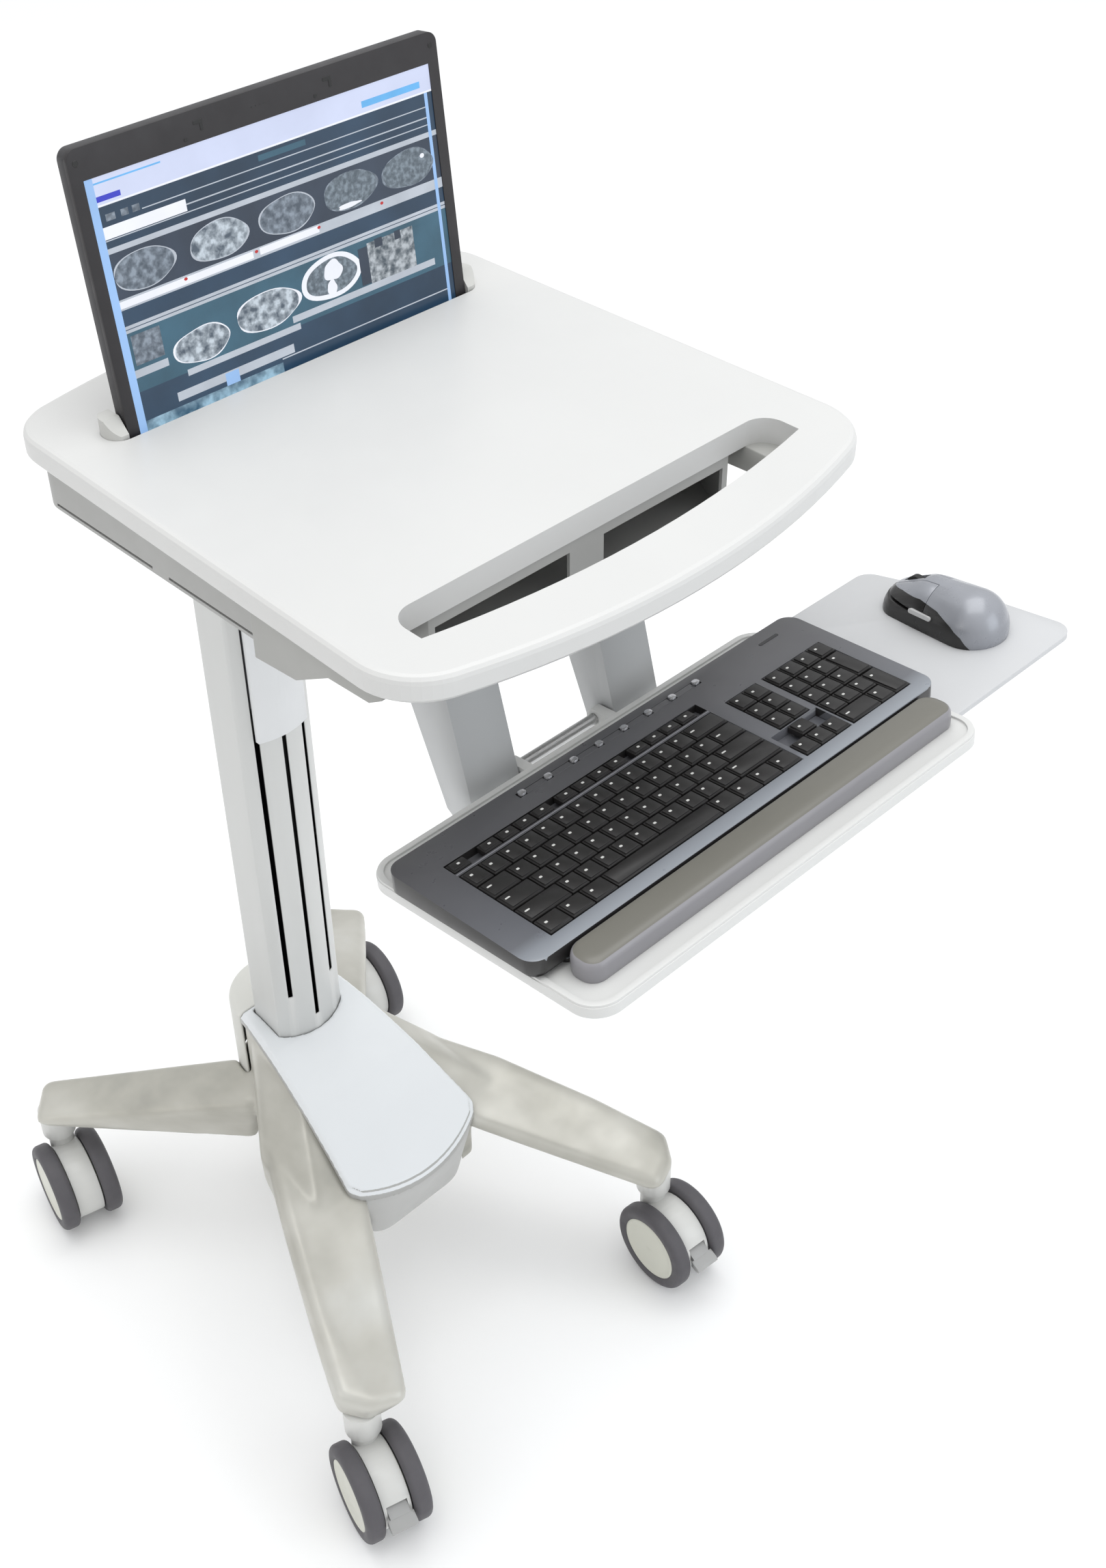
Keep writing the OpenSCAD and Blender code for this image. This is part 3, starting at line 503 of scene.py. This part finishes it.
def key_marks():
    """Small pale marks on the key tops, plain dots and dashes in place of any lettering."""
    pale = plastic("key_mark", (0.62, 0.62, 0.60), 0.5, 0.05)
    groups = {"keys_main": "main_keys", "keys_function": "function_keys", "keys_right": "right_keys"}
    dot, dash = (0.0026, 0.0021), (0.0046, 0.0015)
    wide_key, widest_key = 0.022, 0.05
    left_margin, wide_margin, rear_margin, stagger = 0.0052, 0.008, 0.0065, 0.0012
    sink, rise = 0.0004, 0.00003
    for node, body in groups.items():
        bm = bmesh.new()
        for count, (low, high) in enumerate(islands(node, TRAY)):
            key_width = high.x - low.x
            width, height = dash if key_width > wide_key else dot
            x = low.x + (left_margin if key_width < widest_key else wide_margin)
            y = high.y - rear_margin - stagger * (count % 2)
            if node == "keys_function":
                x, y, width = (low.x + high.x) / 2, (low.y + high.y) / 2, dot[0]
            add_plate(bm, TRAY, (x, y), width, height, 0.0006, high.z - sink, high.z + rise)
        piece("marks_" + body, bm, pale, body)


def keyboard_trim():
    """The thin raised line behind the main keys, the indicator window and the media buttons' strip."""
    low, high = islands("keyboard_case", TRAY)[0]
    line = bmesh.new()
    add_plate(line, TRAY, (low.x + 0.168, high.y - 0.0462), 0.274, 0.0011, 0.0004,
              high.z - 0.006, high.z - 0.00105, 0.0002)
    piece("row_line", line, plastic("row_line_skin", (0.20, 0.20, 0.22), 0.3), "tray")
    window = bmesh.new()
    add_plate(window, TRAY, (high.x - 0.042, high.y - 0.0145), 0.024, 0.0036, 0.0017,
              high.z - 0.003, high.z - 0.0002, 0.0003)
    piece("indicator_window", window, plastic("window_skin", (0.012, 0.012, 0.014), 0.15), "tray")
    strip = bmesh.new()
    buttons = sorted(islands("media_buttons", TRAY), key=lambda box: box[0].x)
    gap = 0.0002
    for left, right in zip(buttons, buttons[1:]):
        start, end = left[1].x + gap, right[0].x - gap
        add_plate(strip, TRAY, ((start + end) / 2, (left[0].y + left[1].y) / 2), end - start, 0.0060, 0.0005,
                  high.z - 0.004, high.z - 0.00042, 0.0002)
    piece("media_strip", strip, PAINT["keyboard_grey"], "tray")


# ---------- wrist rest ----------

def wrist_rest():
    """A crowned gel pad with round ends, rolled over at the user's edge and steep at the keyboard's."""
    low, high = islands("wrist_rest", TRAY)[0]
    width, depth, tall = high.x - low.x, high.y - low.y, high.z - low.z
    centre = (low + high) / 2
    rear_share = 0.2
    # how far the side stands in, and at what share of the height
    profile = [(0.0008, 0.0), (0.0002, 0.10), (0.0, 0.35), (0.0001, 0.62), (0.0005, 0.74), (0.0012, 0.83),
               (0.0024, 0.90), (0.0042, 0.95), (0.0070, 0.985), (0.0100, 1.0)]
    bm = bmesh.new()
    rings = []
    for inset, share in profile:
        corner = max(0.0125 - inset * 0.5, 0.0015)
        outline = rounded_outline(width - 2 * inset, depth - (1 + rear_share) * inset, corner, 8)
        middle = centre.y + (1 - rear_share) / 2 * inset
        rings.append([bm.verts.new(Vector((centre.x + x, middle + y, low.z + tall * share)))
                      for x, y in outline])
    close_rings(bm, rings)
    rest = piece("wrist_pad", bm, PAINT["rest_grey"], "tray", TRAY, 60)
    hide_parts("wrist_rest")


# ---------- laptop detail ----------

def lid_point(u, v, lift):
    """A point on the display, u across from the left and v down from the top, as shares of its size."""
    top = LID_TOP - SCREEN_DROP
    return LID @ Vector(((u - 0.5) * SCREEN_W, SCREEN_Y - lift, top - v * SCREEN_H))


def add_patch(bm, u0, v0, u1, v1, index, lift):
    """A rectangle on the display, in one of the page's materials."""
    corners = [(u0, v1), (u1, v1), (u1, v0), (u0, v0)]
    face = bm.faces.new([bm.verts.new(lid_point(u, v, lift)) for u, v in corners])
    face.material_index = index


def add_oval(bm, u, v, w, h, index, lift, hole=0.0, wobble=0.0):
    """An oval slice, or a ring where hole is the share of its radius that is open."""
    steps = 40
    outer, inner = [], []
    for k in range(steps):
        a = 2 * math.pi * k / steps
        reach = 1 + wobble * math.sin(3 * a + u * 20) + wobble * 0.6 * math.cos(5 * a)
        x, y = 0.5 * w * math.cos(a), 0.5 * h * math.sin(a)
        outer.append(bm.verts.new(lid_point(u + x * reach, v + y * reach, lift)))
        if hole:
            inner.append(bm.verts.new(lid_point(u + x * hole, v + y * hole * reach, lift)))
    if not hole:
        bm.faces.new(reversed(outer)).material_index = index
        return
    for k in range(steps):
        j = (k + 1) % steps
        bm.faces.new((outer[j], outer[k], inner[k], inner[j])).material_index = index


def display():
    """A generic imaging page: header bars, dark panels and two rows of scan slices, with no lettering."""
    tones = {
        "pale": lit("ui_pale", (0.55, 0.60, 0.78), 0.9, 0.06, 20),
        "navy": lit("ui_navy", (0.018, 0.045, 0.085), 0.9, 0.35, 14),
        "teal": lit("ui_teal", (0.035, 0.10, 0.15), 0.9, 0.3, 20),
        "grey": lit("ui_grey", (0.42, 0.46, 0.52), 0.9, 0.12, 30),
        "white": lit("ui_white", (0.72, 0.74, 0.80), 0.95, 0.05, 30),
        "sky": lit("ui_sky", (0.12, 0.40, 0.75), 0.9, 0.1, 40),
        "glow": lit("ui_glow", (0.28, 0.46, 0.76), 0.9, 0.12, 8),
        "blue": lit("ui_blue", (0.03, 0.04, 0.48), 0.9),
        "red": lit("ui_red", (0.45, 0.02, 0.02), 0.9),
        "panel": lit("ui_panel", (0.028, 0.042, 0.068), 0.9, 0.3, 20),
        "tissue": scan("ui_tissue", (0.03, 0.045, 0.07), (0.26, 0.31, 0.38), 170),
        "bone": scan("ui_bone", (0.03, 0.05, 0.08), (0.62, 0.70, 0.78), 140),
        "lung": scan("ui_lung", (0.04, 0.06, 0.08), (0.20, 0.25, 0.30), 260),
        "mosaic": scan("ui_mosaic", (0.03, 0.10, 0.17), (0.36, 0.58, 0.74), 75),
        "spine": scan("ui_spine", (0.02, 0.035, 0.05), (0.50, 0.54, 0.58), 190),
    }
    order = list(tones)
    patches = [
        # u0, v0, u1, v1, tone
        (0.0, 0.0, 1.0, 0.105, "pale"), (0.0, 0.105, 1.0, 0.255, "navy"), (0.0, 0.255, 1.0, 0.275, "grey"),
        (0.0, 0.275, 1.0, 0.445, "panel"), (0.0, 0.445, 1.0, 0.485, "grey"), (0.0, 0.485, 1.0, 0.545, "navy"),
        (0.0, 0.545, 1.0, 0.572, "grey"), (0.0, 0.572, 1.0, 0.80, "teal"), (0.0, 0.80, 1.0, 1.0, "navy"),
    ]
    details = [
        (0.015, 0.068, 0.085, 0.088, "blue"), (0.78, 0.055, 0.965, 0.080, "sky"),
        (0.01, 0.02, 0.20, 0.026, "sky"), (0.0, 0.098, 1.0, 0.105, "white"),
        (0.46, 0.118, 0.60, 0.140, "teal"), (0.035, 0.135, 0.060, 0.160, "tissue"),
        (0.075, 0.135, 0.095, 0.160, "tissue"), (0.105, 0.135, 0.125, 0.160, "tissue"),
        (0.02, 0.178, 0.245, 0.222, "white"), (0.13, 0.156, 0.98, 0.160, "grey"),
        (0.245, 0.196, 0.98, 0.201, "grey"), (0.02, 0.225, 0.98, 0.229, "grey"),
        (0.02, 0.452, 0.40, 0.478, "white"), (0.42, 0.450, 0.60, 0.476, "white"),
        (0.0, 0.557, 1.0, 0.560, "navy"), (0.03, 0.585, 0.11, 0.70, "tissue"),
        (0.02, 0.715, 0.115, 0.745, "grey"), (0.16, 0.79, 0.50, 0.815, "grey"),
        (0.48, 0.755, 0.945, 0.782, "grey"), (0.12, 0.86, 0.47, 0.895, "grey"),
        (0.0, 0.915, 0.43, 0.985, "mosaic"), (0.26, 0.865, 0.30, 0.915, "glow"),
        (0.43, 0.90, 0.98, 0.905, "grey"), (0.735, 0.59, 0.885, 0.755, "spine"),
        (0.76, 0.585, 0.785, 0.62, "panel"), (0.825, 0.585, 0.845, 0.62, "panel"),
        (0.705, 0.60, 0.735, 0.75, "panel"), (0.885, 0.60, 0.925, 0.735, "teal"),
        (0.0, 0.0, 0.022, 1.0, "glow"), (0.975, 0.105, 0.985, 0.96, "glow"),
        (0.06, 0.975, 0.98, 0.979, "glow"),
    ]
    bm = bmesh.new()
    for u0, v0, u1, v1, tone in patches:
        add_patch(bm, u0, v0, u1, v1, order.index(tone), 0.00010)
    for count, (u0, v0, u1, v1, tone) in enumerate(details):
        add_patch(bm, u0, v0, u1, v1, order.index(tone), 0.00014 + 0.000004 * count)
    for u in (0.205, 0.41, 0.60, 0.80):
        add_oval(bm, u, 0.458, 0.010, 0.012, order.index("red"), 0.00029)
    for k, u in enumerate((0.105, 0.315, 0.515, 0.71, 0.895)):
        tone = ("tissue", "bone", "tissue", "lung", "lung")[k]
        add_oval(bm, u, 0.363, 0.17, 0.145, order.index(tone), 0.00024, 0, 0.03)
        add_oval(bm, u, 0.363, 0.17, 0.145, order.index("grey" if k < 3 else "tissue"), 0.00027, 0.955, 0.03)
    add_oval(bm, 0.70, 0.418, 0.07, 0.020, order.index("white"), 0.00030, 0, 0.10)
    add_oval(bm, 0.945, 0.335, 0.014, 0.018, order.index("white"), 0.00030)
    for u, v, w, h in ((0.215, 0.715, 0.165, 0.135), (0.415, 0.690, 0.195, 0.150)):
        add_oval(bm, u, v, w, h, order.index("bone"), 0.00024, 0, 0.04)
        add_oval(bm, u, v, w, h, order.index("white"), 0.00027, 0.95, 0.04)
    add_oval(bm, 0.615, 0.662, 0.190, 0.175, order.index("white"), 0.00024, 0, 0.02)
    add_oval(bm, 0.615, 0.662, 0.160, 0.138, order.index("lung"), 0.00027, 0, 0.03)
    add_oval(bm, 0.622, 0.640, 0.058, 0.080, order.index("white"), 0.00030, 0, 0.08)
    add_oval(bm, 0.612, 0.705, 0.030, 0.060, order.index("white"), 0.00031, 0, 0.08)
    piece("display_page", bm, [tones[t] for t in order], "lid")


def lid_details():
    """Latch hooks, corner buffers and microphone holes on the bezel."""
    bm = bmesh.new()
    bezel_y, sunk = -0.0065, -0.001
    turn = LID @ Matrix.Translation((0, bezel_y, 0)) @ Matrix.Rotation(math.radians(90), 4, "X")
    for x in (-0.062, 0.062):
        add_plate(bm, turn, (x, LID_TOP - 0.0095), 0.0085, 0.0030, 0.0010, sunk, 0.00025, 0.0001)
        add_plate(bm, turn, (x + 0.0028, LID_TOP - 0.0130), 0.0028, 0.0072, 0.0010, sunk, 0.0003, 0.0001)
        add_plate(bm, turn, (x - 0.0130, LID_TOP - 0.0195), 0.0034, 0.0034, 0.0017, sunk, 0.00025, 0.0001)
    for x in (-0.170, 0.170):
        add_plate(bm, turn, (x, LID_TOP - 0.0105), 0.0048, 0.0048, 0.0023, sunk, 0.0003, 0.0002)
    # The microphone holes are near-black dots: painted shade in place of open holes.
    for k in range(4):
        add_plate(bm, turn, (-0.012 + 0.004 * k, LID_TOP - 0.0120), 0.0010, 0.0010, 0.0005, sunk, 0.00006)
    piece("bezel_marks", bm, plastic("bezel_mark_skin", (0.006, 0.006, 0.006), 0.3), "lid")


# ---------- mouse ----------

def thumb_button():
    """The silver oval button on the mouse's left side."""
    bm = bmesh.new()
    lean = (MOUSE @ Matrix.Translation(Vector((-0.0303, 0.004, 0.0160)))
            @ Matrix.Rotation(math.radians(-90), 4, "Y") @ Matrix.Rotation(math.radians(14), 4, "Y"))
    add_plate(bm, lean, (0, 0), 0.0042, 0.0250, 0.0020, -0.004, 0.0008, 0.0004)
    piece("mouse_side_button", bm, plastic("side_button_skin", (0.50, 0.50, 0.50), 0.25), "mouse_support")


# ---------- light, floor and camera ----------

def stage_set():
    """A white floor, a pale studio sky and three area lights."""
    bm = bmesh.new()
    size, floor_z = 30, -0.0005
    corners = [bm.verts.new((x * size, y * size, floor_z)) for x, y in ((-1, -1), (1, -1), (1, 1), (-1, 1))]
    bm.faces.new(corners)
    mesh = bpy.data.meshes.new("floor")
    bm.to_mesh(mesh)
    bm.free()
    floor = bpy.data.objects.new("floor", mesh)
    bpy.context.collection.objects.link(floor)
    mesh.materials.append(Shader("floor_skin", (0.93, 0.93, 0.93), 0.9).mottle(0.5, 0.004).mat)
    world = bpy.data.worlds.new("studio")
    bpy.context.scene.world = world
    world.use_nodes = True
    tree = world.node_tree
    back = tree.nodes["Background"]
    back.inputs["Color"].default_value = (0.98, 0.99, 1.0, 1)
    sky = tree.nodes.new("ShaderNodeTexCoord")
    split = tree.nodes.new("ShaderNodeSeparateXYZ")
    rise = tree.nodes.new("ShaderNodeMapRange")
    rise.inputs["To Min"].default_value = 0.62
    rise.inputs["To Max"].default_value = 1.20
    tree.links.new(sky.outputs["Generated"], split.inputs[0])
    tree.links.new(split.outputs["Z"], rise.inputs["Value"])
    tree.links.new(rise.outputs["Result"], back.inputs["Strength"])
    lights = [
        # name, place, target, size, watts, colour
        ("top_light", (0.3, -0.3, 4.5), (0, 0, 0.8), 3.5, 70, (1.0, 1.0, 0.99)),
        ("front_light", (1.2, -3.6, 2.0), (0, 0, 0.7), 2.2, 26, (0.88, 0.94, 1.0)),
        ("left_light", (-3.6, 0.4, 1.8), (0, 0, 0.6), 2.2, 8, (1.0, 0.94, 0.86)),
    ]
    for name, place, target, extent, watts, colour in lights:
        data = bpy.data.lights.new(name, "AREA")
        data.size = extent
        data.energy = watts
        data.color = colour
        lamp = bpy.data.objects.new(name, data)
        lamp.location = place
        lamp.rotation_euler = (Vector(target) - Vector(place)).to_track_quat("-Z", "Y").to_euler()
        bpy.context.collection.objects.link(lamp)


def camera():
    """The view from the user's left, above the worktop."""
    place = at(-866.9, -1207.0, 1943.8)
    yaw, pitch, roll = math.radians(-44.48), math.radians(40.05), math.radians(-0.39)
    back = Vector((math.sin(yaw) * math.cos(pitch), -math.cos(yaw) * math.cos(pitch), math.sin(pitch)))
    right = (-back).cross(Vector((0, 0, 1))).normalized()
    up = right.cross(-back)
    side = right * math.cos(roll) + up * math.sin(roll)
    top = -right * math.sin(roll) + up * math.cos(roll)
    data = bpy.data.cameras.new("camera")
    data.sensor_width = 36
    data.lens = 44.21
    cam = bpy.data.objects.new("camera", data)
    turn = Matrix((side, top, back)).transposed().to_4x4()
    cam.matrix_world = Matrix.Translation(place) @ turn
    bpy.context.collection.objects.link(cam)
    bpy.context.scene.camera = cam


# ---------- build ----------

paint_nodes()
for node_name in ("laptop_base", "lid_shell", "lid_bezel", "keyboard_tray", "keyboard_case"):
    soften(node_name, 1.2, 3)
for node_name in ("keys_main", "keys_function", "keys_right", "space_bar", "media_buttons"):
    soften(node_name, 0.35, 2)
for node_name in ("arm_left", "arm_right", "side_brackets", "riser_cover", "column", "mouse_tray"):
    soften(node_name, 1.0, 2)
for node_name in NODES:
    if node_name.startswith(("tyre_", "hub_", "caster_", "pedal_")):
        soften(node_name, 0.8, 2)
for node_name in ("base_casting", "base_bin"):
    melt(node_name, 2.5, 26)
for node_name in ("base_lid", "base_cover"):
    melt(node_name, 1.5, 8)
for node_name in ("mouse_body", "mouse_left_button", "mouse_right_button"):
    soften(node_name, 0.4, 2)
key_marks()
keyboard_trim()
wrist_rest()
thumb_button()
display()
lid_details()
stage_set()
camera()
bpy.context.scene.view_settings.view_transform = "Standard"
